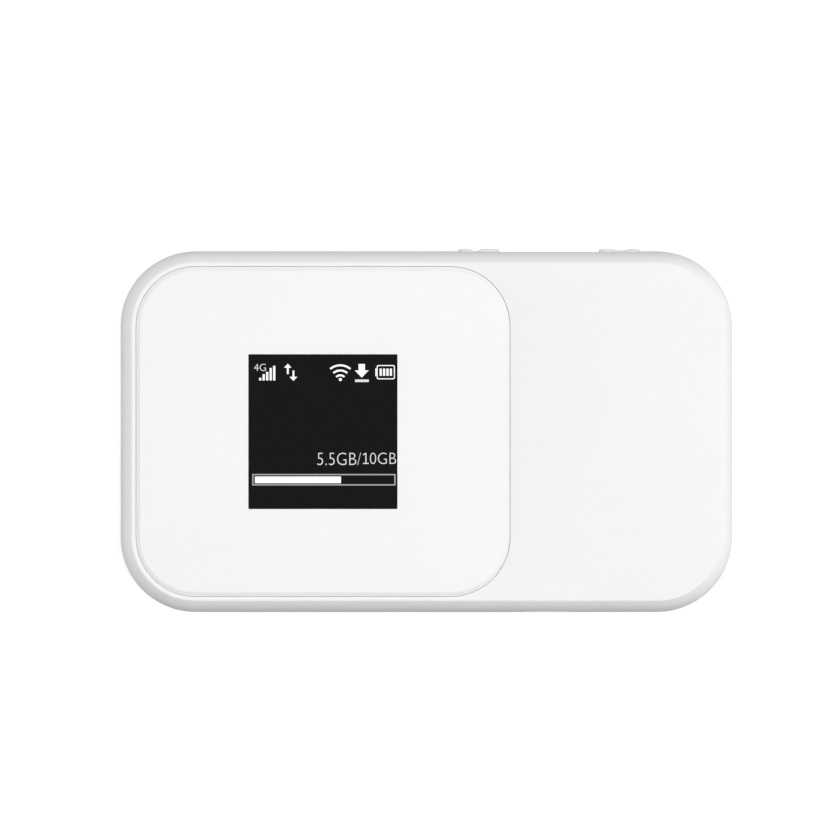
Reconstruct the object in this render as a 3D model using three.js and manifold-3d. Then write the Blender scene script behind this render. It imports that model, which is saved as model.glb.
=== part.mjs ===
// Pocket mobile hotspot: a white two-piece shell round a battery, a board and a small display.
// Millimetres. +Z is the display side, +Y the side with the push buttons, and the origin is the
// middle of the flat back, on which the hotspot lies.
import * as THREE from 'three';
import { mergeVertices } from 'three/addons/utils/BufferGeometryUtils.js';
import Module from 'manifold-3d';

const wasm = await Module();
wasm.setup();

// ---------------------------------------------------------------- driving dimensions

// Outside of the closed shell.
const bodyLength = 107;
const bodyWidth = 63.1;
const cornerRadius = 13.1;
const rimWidth = 2.15; // from the crease round the face out to the side
const creaseAngle = Math.PI / 6; // slope of the rim where it leaves the face
const backRoll = 4.5; // how far the rolled side reaches in under the back

// Walls and play.
const coverWall = 1.1;
const sideWall = 1.4;
const frontWall = 1.4;
const seamGap = 0.15;
const seatGap = 0.03; // between faces that rest on each other
const weld = 0.4; // how deep moulded-on features run into their wall
const arcSteps = 4; // half the facets in a quarter turn of an outline
const rimSteps = 6; // facets round a quarter turn of the rim
const rollSteps = 8; // and of the rolled side
const cavityRoll = 1.2; // inner corner between the side and front walls

// The stack from back to front.
const batteryPlay = 0.3;
const batteryThickness = 4.7;
const plateThickness = 0.8;
const boardStandoff = 0.4;
const boardThickness = 0.8;
const shieldHeight = 1.5;
const displayPlay = 0.3;
const backlightThickness = 1.2;
const glassThickness = 1.2;
const gasketThickness = 0.3;
const panelThickness = 0.9;
const panelProud = 0.2;
const adhesiveThickness = 0.15;

// Front panel and display, whose centre they share.
const displayX = -18.05;
const panelLength = 65.2;
const panelWidth = 57.5;
const panelRadius = 10.4;
const panelGap = 0.12;
const panelEdge = 0.8; // width of the rounded edge
const panelEdgeDrop = 0.3;
const windowLength = 25.9;
const windowWidth = 26.9;
const windowGap = 0.05;
const windowMargin = 0.8; // by which the openings behind the window are larger
const glassMarginX = 2.3; // glass past the window
const glassMarginY = 4.5;
const backlightMargin = 0.6; // backlight past the glass
const gasketInset = 2; // from the ends of the glass to the gasket
const cradleWall = 0.8; // rib round the display
const cradleGap = 0.2;
const cradleDepth = 2.4;
const flexLength = 12;
const flexThickness = 0.15;
const flexReach = 5; // from the glass to the connector
const lcdConnectorMargin = 1; // connector past the flex, at each end
const lcdConnectorWidth = 2.6;
const lcdConnectorHeight = 1.1;

// Push buttons on the +Y side.
const powerButtonX = 33.8;
const pairingButtonX = 9.15;
const buttonLength = 7.3;
const buttonHeight = 2.6;
const buttonProud = 0.42;
const buttonDish = 0.16;
const buttonGap = 0.15;
const buttonFlange = 0.7; // how far the retaining flange reaches past the cap
const buttonFlangeThickness = 0.55;
const buttonFlangeHeight = 1.1; // by which the flange is taller than the cap
const buttonTravel = 0.35;
const buttonCorner = 0.6; // rounding at the ends of a cap's front
const pusherLength = 2; // post behind the cap
const pusherHeight = 1.2;
const buttonRecessDepth = 0.14;
const buttonRecessHeight = 4.6;
const buttonRecessMargin = 0.9; // past the outer end of each button
const switchLength = 4.6;
const switchDepth = 3.5;
const switchHeight = 1.7;
const stemLength = 1.6;
const stemHeight = 0.9;
const stemReach = 0.7; // how far the stem stands out of its switch
const stemBury = 1.2; // and how far it reaches in
const stemGap = 0.15;
const switchSetback = 0.55; // from the board's edge to the switch

// Charging and data inlet on the -Y side.
const usbX = 21;
const usbLength = 7.6;
const usbHeight = 2.6;
const usbDepth = 5.6;
const usbWall = 0.3;
const usbSetback = 0.35;
const usbGap = 0.2;
const usbChamfer = 0.9; // lower corners of the shell
const tongueMargin = 1.5; // shell past the tongue, at each side
const tongueLength = 4;
const tongueThickness = 0.6;
const tongueRise = 0.3; // above the middle of the shell

// Board and what it carries.
const boardInset = 2.6;
const notchGap = 0.4; // round the bosses that pass the board
const shieldWall = 0.2;
const chipGap = 0.05;
const basebandX = 20;
const basebandY = -4;
const basebandSize = 30;
const radioLength = 24;
const radioWidth = 22;

// Battery, its bay and its connector.
const batteryLength = 57;
const batteryWidth = 46;
const batteryInset = 12; // from the -X side to the battery
const bayGap = 0.4;
const bayWall = 1;
const deckRise = 0.5; // from the inside of the rear cover to the deck
const deckInset = 10; // from the +X side to the deck
const deckRadius = 2;
const deckWall = 0.8;
const capLength = 2.2;
const terminalThickness = 0.2;
const terminalWidth = 2.4;
const terminalPitch = 3.4;
const terminalCount = 3;
const connectorLength = 4;
const connectorWidth = 12;
const contactWidth = 1.2;
const contactRise = 1.2; // from the middle of a contact to where it enters the connector
const contactLeaf = 0.25;

// SIM card, its socket and the well that opens on it.
const simLength = 25;
const simWidth = 15;
const simThickness = 0.76;
const simFromDeckEdge = 11.5;
const simBackY = 16;
const simTravel = 5;
const simSocketLength = 18;
const simSocketWall = 0.15;
const simGap = 0.12;
const wellGap = 0.4;

// Reset button in the deck, with its switch behind it.
const resetY = -20;
const resetRadius = 0.9;
const resetFlangeRadius = 1.6;
const resetBossRadius = 2.4;
const resetBossHeight = 2;
const resetSwitchSize = 4;
const resetSwitchHeight = 1.4;
const resetBury = 0.3; // how far the button reaches into its switch
const resetSink = 0.4; // and how far its tip lies below the deck
const resetTravel = 0.25;
const resetGap = 0.15;

// Fastening.
const screwReach = 5.6; // from the centre of a corner's arc, along X and along Y
const bossRadius = 2.2;
const screwRadius = 0.7;
const screwHeadRadius = 1.5;
const screwHeadHeight = 0.8;
const screwLength = 4.2;
const screwGap = 0.1;
const boardScrewInset = 6; // from the end of the body
const boardScrewLength = 3.4;
const seatRadius = 1.9;
const seatDepth = 2.6;
const lipInset = 2.3;
const lipWall = 0.8;
const lipDepth = 1.4;
const hookInset = sideWall + 0.2;
const hookThickness = 0.6;
const hookWidth = 5;
const hookBottom = 4;
const hookRise = 0.7; // how far a hook stands above the seam
const hookGap = 0.4;
const hookSpacing = 34;
const nailNotchWidth = 9;
const nailNotchHeight = 1.1;
const nailNotchX = -17;

// Antennas on the inside of the front wall.
const antennaThickness = 0.12;
const antennaInset = 3; // from the end of the body
const mainAntennaDepth = 14;
const mainAntennaSpan = 36;
const diversityAntennaDepth = 12;
const diversityAntennaSpan = 28;
const wlanAntennaX = 14;
const wlanAntennaLength = 20;
const wlanAntennaInset = 5; // from the +Y side
const wlanAntennaWidth = 7;
const meanderReach = 2; // foil left at the end of each slot
const clipLeaf = 0.2;
const clipWidth = 2;
const clipReach = 3;

// ---------------------------------------------------------------- levels and places that follow

const batteryBottom = coverWall + batteryPlay;
const batteryTop = batteryBottom + batteryThickness;
const seam = batteryTop + batteryPlay;
const plateTop = seam + plateThickness;
const boardBottom = plateTop + boardStandoff;
const boardTop = boardBottom + boardThickness;
const backlightBottom = boardTop + shieldHeight + displayPlay;
const glassBottom = backlightBottom + backlightThickness;
const glassTop = glassBottom + glassThickness;
const frontInside = glassTop + gasketThickness;
const face = frontInside + frontWall;
const panelTop = face + panelProud;
const panelBottom = panelTop - panelThickness;
const recessFloor = panelBottom - adhesiveThickness;
const rimRadius = rimWidth / (1 - Math.sin(creaseAngle));
const girdle = face - rimRadius * Math.cos(creaseAngle); // the widest level of the body

const glassLength = windowLength + 2 * glassMarginX;
const glassWidth = windowWidth + 2 * glassMarginY;
const backlightLength = glassLength + 2 * backlightMargin;
const backlightWidth = glassWidth + 2 * backlightMargin;
const lcdConnectorY = -glassWidth / 2 - flexReach - lcdConnectorWidth / 2;

const halfLength = bodyLength / 2;
const halfWidth = bodyWidth / 2;
const batteryLeft = batteryInset - halfLength;
const batteryRight = batteryLeft + batteryLength;
const bayRight = batteryRight + bayGap + bayWall;
const deckLeft = batteryLeft - bayGap - bayWall;
const deckRight = halfLength - deckInset;
const deckBottom = coverWall + deckRise;
const deckHalfWidth = batteryWidth / 2 + bayGap + bayWall;
const simX = deckRight - simFromDeckEdge;
const simTop = boardBottom - seatGap - simSocketWall - simGap;
const simBottom = simTop - simThickness;
const simSocketBottom = simBottom - simGap - simSocketWall;
const buttonZ = boardTop + switchHeight / 2;
const insideY = halfWidth - sideWall; // inner face of the +Y wall
const flangeInner = insideY - seatGap - buttonFlangeThickness;
const switchFront = halfWidth - boardInset - switchSetback;
const resetFlangeBottom = deckBottom + resetBossHeight + seatGap;
const boardScrewX = halfLength - boardScrewInset;
const screwX = halfLength - cornerRadius + screwReach;
const screwY = halfWidth - cornerRadius + screwReach;

// ---------------------------------------------------------------- solids

// A three.js geometry as a solid that can be cut and joined.
function solid(geometry) {
  geometry.deleteAttribute('normal');
  geometry.deleteAttribute('uv');
  const merged = mergeVertices(geometry, 1e-4);
  const mesh = new wasm.Mesh({
    numProp: 3,
    vertProperties: merged.attributes.position.array,
    triVerts: new Uint32Array(merged.index.array),
  });
  return new wasm.Manifold(mesh);
}

function cut(base, ...tools) {
  return tools.reduce((left, tool) => left.subtract(tool), base);
}

function join(base, ...pieces) {
  return pieces.reduce((sum, piece) => sum.add(piece), base);
}

// Rounded rectangle, centred on (x, y).
function roundedRect(width, height, radius, x = 0, y = 0) {
  const right = x + width / 2 - radius;
  const left = x - width / 2 + radius;
  const top = y + height / 2 - radius;
  const bottom = y - height / 2 + radius;
  const quarter = Math.PI / 2;
  const shape = new THREE.Shape();
  shape.absarc(right, bottom, radius, -quarter, 0);
  shape.absarc(right, top, radius, 0, quarter);
  shape.absarc(left, top, radius, quarter, 2 * quarter);
  shape.absarc(left, bottom, radius, 2 * quarter, 3 * quarter);
  return shape;
}

function polygon(...corners) {
  return new THREE.Shape(corners.map(([x, y]) => new THREE.Vector2(x, y)));
}

// The body's outline, moved in from the side by inset.
function outline(inset) {
  return roundedRect(bodyLength - 2 * inset, bodyWidth - 2 * inset, cornerRadius - inset);
}

function panelOutline(growth = 0) {
  const length = panelLength + 2 * growth;
  const width = panelWidth + 2 * growth;
  return roundedRect(length, width, panelRadius + growth, displayX, 0);
}

function slab(shape, bottom, top) {
  const options = { depth: top - bottom, bevelEnabled: false, curveSegments: arcSteps };
  const geometry = new THREE.ExtrudeGeometry(shape, options);
  return solid(geometry.translate(0, 0, bottom));
}

// The same along Y, from a shape drawn in X and Z.
function slabAlongY(shape, back, front) {
  const options = { depth: front - back, bevelEnabled: false, curveSegments: arcSteps };
  const geometry = new THREE.ExtrudeGeometry(shape, options);
  return solid(geometry.rotateX(Math.PI / 2).translate(0, front, 0));
}

// A slab whose edges roll in by roll over a height of rise, at both ends.
function rolledSlab(shape, bottom, top, roll, rise, steps) {
  const geometry = new THREE.ExtrudeGeometry(shape, {
    depth: top - bottom - 2 * rise,
    bevelEnabled: true,
    bevelSize: roll,
    bevelOffset: -roll,
    bevelThickness: rise,
    bevelSegments: steps,
    curveSegments: arcSteps,
  });
  return solid(geometry.translate(0, 0, bottom + rise));
}

function ring(outer, inner, bottom, top) {
  return cut(slab(outer, bottom, top), slab(inner, bottom - 1, top + 1));
}

function block(x, y, z) {
  const geometry = new THREE.BoxGeometry(x[1] - x[0], y[1] - y[0], z[1] - z[0]);
  return solid(geometry.translate((x[0] + x[1]) / 2, (y[0] + y[1]) / 2, (z[0] + z[1]) / 2));
}

// A range of the given length, centred on middle.
function about(middle, length) {
  return [middle - length / 2, middle + length / 2];
}

function post(x, y, radius, bottom, top, sides = 16) {
  const geometry = new THREE.CylinderGeometry(radius, radius, top - bottom, sides);
  return solid(geometry.rotateX(Math.PI / 2).translate(x, y, (bottom + top) / 2));
}

// ---------------------------------------------------------------- scene graph

const hotspot = new THREE.Group();

function finish(color, roughness, metalness = 0) {
  return new THREE.MeshStandardMaterial({ color, roughness, metalness });
}

const whiteMatte = finish('#f4f4f4', 0.5);
const whiteGloss = finish('#fafafa', 0.08);
const blackGloss = finish('#191919', 0.08);
const blackPlastic = finish('#1d1d1f', 0.55);
const foam = finish('#26262a', 0.95);
const tape = finish('#d8d4c8', 0.8);
const glassGrey = finish('#3a4046', 0.1);
const filmAmber = finish('#a8641e', 0.4);
const boardGreen = finish('#1c5a3c', 0.45);
const steel = finish('#b9bcc0', 0.35, 1);
const gold = finish('#d8b25a', 0.3, 1);
const cellGrey = finish('#c9ccd1', 0.5);

function place(parent, name, made, material) {
  const mesh = made.getMesh();
  const geometry = new THREE.BufferGeometry();
  geometry.setAttribute('position', new THREE.BufferAttribute(mesh.vertProperties, 3));
  geometry.setIndex(new THREE.BufferAttribute(mesh.triVerts, 1));
  const faceted = geometry.toNonIndexed();
  faceted.computeVertexNormals();
  const node = new THREE.Mesh(faceted, material);
  node.name = name;
  parent.add(node);
  return node;
}

// ---------------------------------------------------------------- shell

// The closed body: a rim that curves down from the crease, and a side that rolls in to the back.
function pebble() {
  const rimmed = rolledSlab(outline(0), -rimRadius - 1, girdle + rimRadius, rimRadius, rimRadius, rimSteps);
  const backed = rolledSlab(outline(0), 0, face + girdle + 1, backRoll, girdle, rollSteps);
  return rimmed.intersect(backed);
}

function wide(bottom, top) {
  return block([-bodyLength, bodyLength], [-bodyWidth, bodyWidth], [bottom, top]);
}

function eachCorner() {
  return [-1, 1].flatMap((sx) => [-1, 1].map((sy) => [sx * screwX, sy * screwY]));
}

// Shallow strip along the side that the two buttons stand in.
function buttonRecess() {
  const reach = buttonLength / 2 + buttonRecessMargin;
  const length = powerButtonX - pairingButtonX + 2 * reach;
  const middle = (powerButtonX + pairingButtonX) / 2;
  const end = buttonRecessHeight / 2 - 0.01;
  const strip = roundedRect(length, buttonRecessHeight, end, middle, buttonZ);
  return slabAlongY(strip, halfWidth - buttonRecessDepth, halfWidth + 2);
}

function buttonOpening(x) {
  const length = buttonLength + 2 * buttonGap;
  const height = buttonHeight + 2 * buttonGap;
  const hole = roundedRect(length, height, height / 2 - 0.05, x, buttonZ);
  return slabAlongY(hole, insideY - 1, halfWidth + 2);
}

function usbOpening() {
  const height = usbHeight + 2 * usbGap;
  const middle = boardTop + seatGap + usbHeight / 2;
  const hole = roundedRect(usbLength + 2 * usbGap, height, 0.5, usbX, middle);
  return slabAlongY(hole, -halfWidth - 2, -insideY + 1);
}

function displayOpening(growth, bottom, top) {
  const x = about(displayX, windowLength + 2 * growth);
  return block(x, about(0, windowWidth + 2 * growth), [bottom, top]);
}

// Rib that locates the display, open on -Y where the flex leaves.
function displayCradle() {
  const length = backlightLength + 2 * cradleGap;
  const width = backlightWidth + 2 * cradleGap;
  const inner = roundedRect(length, width, 0.4, displayX, 0);
  const outer = roundedRect(length + 2 * cradleWall, width + 2 * cradleWall, 1, displayX, 0);
  const rib = ring(outer, inner, frontInside - cradleDepth, frontInside + weld);
  const gate = block(
    about(displayX, flexLength + 2),
    [-width / 2 - 2 * cradleWall, -width / 2 + cradleWall],
    [frontInside - cradleDepth - 1, frontInside]
  );
  return cut(rib, gate);
}

function frontHousing() {
  const cavity = rolledSlab(
    outline(sideWall), seam - 2 * cavityRoll - 1, frontInside, cavityRoll, cavityRoll, 2
  );
  const shell = cut(pebble().intersect(wide(seam, face)), cavity);
  const bosses = eachCorner().map(([x, y]) =>
    post(x, y, bossRadius, plateTop + seatGap, frontInside + weld)
  );
  const pilots = eachCorner().map(([x, y]) =>
    post(x, y, screwRadius + screwGap, plateTop - 1, plateTop + screwLength)
  );
  return cut(
    join(shell, displayCradle(), ...bosses),
    slab(panelOutline(panelGap), recessFloor, face + 1),
    displayOpening(windowMargin, frontInside - 1, face + 1),
    buttonRecess(),
    buttonOpening(powerButtonX),
    buttonOpening(pairingButtonX),
    usbOpening(),
    ...pilots
  );
}

// Places of the rear cover's hooks: the middle of each, and the direction out to the side.
function hookPlaces() {
  const along = [-hookSpacing, 0, hookSpacing];
  return [
    ...along.map((x) => ({ x, y: halfWidth, outX: 0, outY: 1 })),
    ...along.map((x) => ({ x, y: -halfWidth, outX: 0, outY: -1 })),
    { x: halfLength, y: 0, outX: 1, outY: 0 },
    { x: -halfLength, y: 0, outX: -1, outY: 0 },
  ];
}

// A block at a hook's place, from inset from to inset to, as wide as width.
function hookBlock(at, from, to, width, bottom, top) {
  const depth = to - from;
  const middle = (from + to) / 2;
  const x = about(at.x - at.outX * middle, at.outX ? depth : width);
  const y = about(at.y - at.outY * middle, at.outY ? depth : width);
  return block(x, y, [bottom, top]);
}

function rearCover() {
  const cavity = rolledSlab(
    outline(coverWall), coverWall, face + girdle + 1, backRoll - 0.5, girdle - coverWall, rollSteps
  );
  const shell = cut(pebble().intersect(wide(-1, seam - seamGap)), cavity);
  const hooks = hookPlaces().map((at) =>
    hookBlock(at, hookInset, hookInset + hookThickness, hookWidth, hookBottom, seam + hookRise)
  );
  const top = seam - seamGap;
  const notch = roundedRect(nailNotchWidth, 2 * nailNotchHeight, nailNotchHeight - 0.01, nailNotchX, top);
  return cut(join(shell, ...hooks), slabAlongY(notch, -halfWidth - 1, -halfWidth + 0.9));
}

// ---------------------------------------------------------------- middle frame

function wellRange() {
  const x = about(simX, simWidth + 2 * (simGap + simSocketWall + wellGap));
  const y = [simBackY - simLength - simTravel - 1, simBackY + wellGap];
  return { x, y };
}

function grown([low, high], by) {
  return [low - by, high + by];
}

function middleFrame() {
  const plate = slab(outline(sideWall + seamGap), seam, plateTop);
  const lip = ring(outline(lipInset), outline(lipInset + lipWall), seam - lipDepth, seam + weld);
  const deckLength = deckRight - deckLeft;
  const deckShape = roundedRect(
    deckLength, 2 * deckHalfWidth, deckRadius, (deckLeft + deckRight) / 2, 0
  );
  const deck = slab(deckShape, deckBottom, plateTop);
  const pocket = block(
    [batteryLeft - bayGap, batteryRight + bayGap],
    about(0, batteryWidth + 2 * bayGap),
    [-1, seam]
  );
  const hollow = block(
    [bayRight, deckRight - bayWall],
    about(0, 2 * (deckHalfWidth - bayWall)),
    [deckBottom + deckWall, boardBottom]
  );
  const well = wellRange();
  const wellWalls = block(grown(well.x, deckWall), grown(well.y, deckWall), [deckBottom, plateTop]);
  const resetBoss = post(simX, resetY, resetBossRadius, deckBottom, deckBottom + resetBossHeight);
  const seats = [-boardScrewX, boardScrewX].map((x) =>
    post(x, 0, seatRadius, seam - seatDepth, boardBottom - seatGap)
  );
  const body = join(cut(join(plate, lip, deck), pocket, hollow), wellWalls, resetBoss, ...seats);
  const contactWindow = block(
    [batteryRight, bayRight + 1],
    about(0, connectorWidth + 2 * bayGap),
    [deckBottom + deckWall, seam - 0.4]
  );
  const slots = hookPlaces().map((at) =>
    hookBlock(
      at, 0, hookInset + hookThickness + hookGap, hookWidth + 2 * hookGap,
      seam - lipDepth - 1, plateTop + 1
    )
  );
  const screwHoles = eachCorner().map(([x, y]) =>
    post(x, y, screwRadius + 2 * screwGap, seam - 2, plateTop + 1)
  );
  const pilots = [-boardScrewX, boardScrewX].map((x) =>
    post(x, 0, screwRadius + screwGap, boardTop - boardScrewLength - 0.4, boardBottom)
  );
  return cut(
    body,
    block(well.x, well.y, [-1, plateTop + 1]),
    post(simX, resetY, resetRadius + resetGap, -1, plateTop),
    contactWindow,
    ...slots,
    ...screwHoles,
    ...pilots
  );
}

// A pan-headed screw whose head's seat is at seat, with its shank towards direction.
function screw(x, y, seat, length, direction) {
  const [low, high] = direction > 0 ? [seat - screwHeadHeight, seat] : [seat, seat + screwHeadHeight];
  const end = seat + direction * length;
  const shank = post(x, y, screwRadius, Math.min(seat, end), Math.max(seat, end), 12);
  const tip = direction > 0 ? low : high;
  const slotDepth = 0.35;
  const slots = [[1.8, 0.35], [0.35, 1.8]].map(([length_, width]) =>
    block(about(x, length_), about(y, width), [tip - slotDepth, tip + slotDepth])
  );
  return cut(join(post(x, y, screwHeadRadius, low, high), shank), ...slots);
}

// ---------------------------------------------------------------- front panel and display

function frontPanel() {
  const rounded = rolledSlab(
    panelOutline(), panelBottom - 2 * panelEdgeDrop, panelTop, panelEdge, panelEdgeDrop, 3
  );
  const plate = cut(rounded, wide(panelBottom - 2, panelBottom));
  return cut(plate, displayOpening(windowGap, panelBottom - 1, panelTop + 1));
}

function panelAdhesive() {
  const sheet = slab(panelOutline(-1), recessFloor + seatGap, panelBottom - seatGap);
  return cut(sheet, displayOpening(windowMargin, recessFloor - 1, panelBottom + 1));
}

function displayStack() {
  const centred = (length, width, bottom, top) =>
    block(about(displayX, length), about(0, width), [bottom + seatGap, top]);
  const gasket = cut(
    centred(glassLength, glassWidth - 2 * gasketInset, glassTop, frontInside - seatGap),
    displayOpening(windowMargin, glassTop - 1, frontInside + 1)
  );
  const group = new THREE.Group();
  place(group, 'display_window', displayOpening(0, panelBottom, panelTop), blackGloss);
  place(group, 'lcd_gasket', gasket, foam);
  place(group, 'lcd_panel', centred(glassLength, glassWidth, glassBottom, glassTop), glassGrey);
  place(
    group,
    'backlight_unit',
    centred(backlightLength, backlightWidth, backlightBottom, glassBottom),
    whiteMatte
  );
  return group;
}

// Ribbon from the foot of the glass down to the connector on the board.
function lcdFlex() {
  const start = -glassWidth / 2 - seatGap;
  const end = lcdConnectorY + lcdConnectorWidth / 2 + seatGap;
  const high = glassBottom + glassThickness / 4;
  const low = boardTop + lcdConnectorHeight / 2;
  const run = start - end;
  const drop = high - low;
  const path = new THREE.CatmullRomCurve3([
    new THREE.Vector3(displayX, start, high),
    new THREE.Vector3(displayX, start - 0.32 * run, high - 0.05 * drop),
    new THREE.Vector3(displayX, start - 0.52 * run, high - 0.35 * drop),
    new THREE.Vector3(displayX, start - 0.66 * run, high - 0.7 * drop),
    new THREE.Vector3(displayX, start - 0.82 * run, low + 0.05 * drop),
    new THREE.Vector3(displayX, end, low),
  ]);
  const half = [flexLength / 2, flexThickness / 2];
  const section = polygon(
    [-half[0], -half[1]], [half[0], -half[1]], [half[0], half[1]], [-half[0], half[1]]
  );
  return solid(new THREE.ExtrudeGeometry(section, { steps: 14, extrudePath: path }));
}

// ---------------------------------------------------------------- board

function mainBoard() {
  const sheet = slab(outline(boardInset), boardBottom, boardTop);
  const notches = eachCorner().map(([x, y]) =>
    post(x, y, bossRadius + notchGap, boardBottom - 1, boardTop + 1)
  );
  const holes = [-boardScrewX, boardScrewX].map((x) =>
    post(x, 0, screwRadius + 2 * screwGap, boardBottom - 1, boardTop + 1)
  );
  return cut(sheet, ...notches, ...holes);
}

// Pressed can, open towards the board.
function shieldCan(x, y, length, width) {
  const shape = (by) => roundedRect(length - 2 * by, width - 2 * by, 0.6, x, y);
  const bottom = boardTop + seatGap;
  const top = boardTop + shieldHeight;
  return cut(slab(shape(0), bottom, top), slab(shape(shieldWall), bottom - 1, top - shieldWall));
}

function onBoard(x, y, length, width, height) {
  return block(about(x, length), about(y, width), [boardTop + chipGap, boardTop + height]);
}

// Side-acting switch, with the bore that its stem slides in.
function tactSwitch(x) {
  const body = block(
    about(x, switchLength),
    [switchFront - switchDepth, switchFront],
    [boardTop + seatGap, boardTop + switchHeight]
  );
  const bore = block(
    about(x, stemLength + 2 * stemGap),
    [switchFront - stemBury - buttonTravel - stemGap, switchFront + 1],
    about(buttonZ, stemHeight + 2 * stemGap)
  );
  return cut(body, bore);
}

function switchStem(x) {
  const y = [switchFront - stemBury, switchFront + stemReach];
  return block(about(x, stemLength), y, about(buttonZ, stemHeight));
}

// Cap with a dished front, a flange behind the wall and a post that reaches the switch's stem.
function buttonCap(x) {
  const left = x - buttonLength / 2;
  const right = x + buttonLength / 2;
  const front = halfWidth + buttonProud;
  const plan = new THREE.Shape();
  plan.moveTo(left, flangeInner + 0.2);
  plan.lineTo(right, flangeInner + 0.2);
  plan.lineTo(right, front - buttonCorner);
  plan.quadraticCurveTo(right, front, right - buttonCorner, front);
  plan.quadraticCurveTo(x - 0.4, front - 2 * buttonDish, left + buttonCorner, front);
  plan.quadraticCurveTo(left, front, left, front - buttonCorner);
  const tall = slab(plan, buttonZ - buttonHeight, buttonZ + buttonHeight);
  const end = roundedRect(buttonLength, buttonHeight, buttonHeight / 2 - 0.05, x, buttonZ);
  const cap = tall.intersect(slabAlongY(end, flangeInner - 1, front + 1));
  const flange = block(
    about(x, buttonLength + 2 * buttonFlange),
    [flangeInner, flangeInner + buttonFlangeThickness],
    about(buttonZ, buttonHeight + buttonFlangeHeight)
  );
  const pusher = block(
    about(x, pusherLength),
    [switchFront + stemReach + seatGap, flangeInner + 0.2],
    about(buttonZ, pusherHeight)
  );
  return join(cap, flange, pusher);
}

function usbSocket() {
  const bottom = boardTop + seatGap;
  const front = usbSetback - halfWidth;
  const shape = (by) => {
    const half = usbLength / 2 - by;
    const low = bottom + by;
    const high = bottom + usbHeight - by;
    const chamfer = usbChamfer - by / 2;
    return polygon(
      [usbX - half + chamfer, low], [usbX + half - chamfer, low], [usbX + half, low + chamfer],
      [usbX + half, high], [usbX - half, high], [usbX - half, low + chamfer]
    );
  };
  const shell = slabAlongY(shape(0), front, front + usbDepth);
  return cut(shell, slabAlongY(shape(usbWall), front - 1, front + usbDepth - usbWall));
}

function usbTongue() {
  const back = usbSetback - halfWidth + usbDepth - usbWall - seatGap;
  const middle = boardTop + seatGap + usbHeight / 2 + tongueRise;
  const x = about(usbX, usbLength - 2 * tongueMargin);
  return block(x, [back - tongueLength, back], about(middle, tongueThickness));
}

function simSocket() {
  const outer = simWidth + 2 * (simGap + simSocketWall);
  const y = [simBackY - simSocketLength, simBackY];
  const shell = block(about(simX, outer), y, [simSocketBottom, boardBottom - seatGap]);
  const room = block(
    about(simX, simWidth + 2 * simGap),
    [y[0] - 1, y[1] - simSocketWall],
    [simBottom - simGap, simTop + simGap]
  );
  const thumb = post(simX, y[0], 5, simSocketBottom - 1, simBottom, 24);
  return cut(shell, room, thumb);
}

// Card with one corner cut off.
function simCard() {
  const right = simX + simWidth / 2;
  const left = simX - simWidth / 2;
  const back = simBackY - simSocketWall - simGap;
  const front = back - simLength;
  const notch = 3;
  const shape = polygon(
    [left, front], [right, front], [right, back - notch], [right - notch, back], [left, back]
  );
  return slab(shape, simBottom, simTop);
}

function resetSwitch() {
  const top = boardBottom - seatGap;
  const bottom = boardBottom - resetSwitchHeight;
  const body = block(about(simX, resetSwitchSize), about(resetY, resetSwitchSize), [bottom, top]);
  const boreTop = bottom + resetBury + 2 * resetTravel;
  return cut(body, post(simX, resetY, resetRadius + resetGap, bottom - 1, boreTop));
}

function resetButton() {
  const tip = deckBottom + resetSink;
  const flangeTop = resetFlangeBottom + 0.5;
  const end = boardBottom - resetSwitchHeight + resetBury;
  return join(
    post(simX, resetY, resetRadius, tip, end),
    post(simX, resetY, resetFlangeRadius, resetFlangeBottom, flangeTop)
  );
}

// ---------------------------------------------------------------- battery

function terminalY(index) {
  return (index - (terminalCount - 1) / 2) * terminalPitch;
}

function batteryGroup() {
  const group = new THREE.Group();
  const section = (from, to) => roundedRect(to - from, batteryWidth, 0.8, (from + to) / 2, 0);
  const cellEnd = batteryRight - terminalThickness - capLength;
  const cell = rolledSlab(section(batteryLeft, cellEnd), batteryBottom, batteryTop, 0.5, 0.5, 2);
  const cap = slab(
    section(cellEnd + seatGap, batteryRight - terminalThickness), batteryBottom + 0.1, batteryTop - 0.1
  );
  place(group, 'battery_cell', cell, cellGrey);
  place(group, 'battery_cap', cap, blackPlastic);
  for (let i = 0; i < terminalCount; i += 1) {
    const x = [batteryRight - terminalThickness + seatGap / 3, batteryRight];
    const z = about((batteryBottom + batteryTop) / 2, 2.8);
    place(group, `battery_terminal_${i + 1}`, block(x, about(terminalY(i), terminalWidth), z), gold);
  }
  return group;
}

function connectorRange() {
  const start = bayRight + 0.3;
  return [start, start + connectorLength];
}

function batteryConnector() {
  return block(
    connectorRange(), about(0, connectorWidth), [deckBottom + deckWall + 0.3, boardBottom - seatGap]
  );
}

// Leaf spring that bulges out of the connector to meet a terminal.
function batteryContact(index) {
  const root = connectorRange()[0] - seatGap;
  const nose = batteryRight + 0.05;
  const middle = (batteryBottom + batteryTop) / 2;
  const inner = contactRise - 1.2 * contactLeaf;
  const shape = polygon(
    [root, middle - contactRise], [root, middle - inner], [nose + contactLeaf, middle - 0.2],
    [nose + contactLeaf, middle + 0.2], [root, middle + inner], [root, middle + contactRise],
    [nose, middle + 0.3], [nose, middle - 0.3]
  );
  const y = terminalY(index);
  return slabAlongY(shape, y - contactWidth / 2, y + contactWidth / 2);
}

// ---------------------------------------------------------------- antennas

// Foil with slots let in from alternate sides, so that the rest runs to and fro.
function meander(x, y, slots) {
  const sheet = block(x, y, [frontInside - seatGap - antennaThickness, frontInside - seatGap]);
  const pitch = (y[1] - y[0]) / (slots + 1);
  const cuts = Array.from({ length: slots }, (_, i) => {
    const middle = y[0] + pitch * (i + 1);
    const from = i % 2 ? x[0] + meanderReach : x[0] - 1;
    const to = i % 2 ? x[1] + 1 : x[1] - meanderReach;
    return block([from, to], about(middle, pitch / 3), [frontInside - 1, frontInside + 1]);
  });
  return cut(sheet, ...cuts);
}

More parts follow.
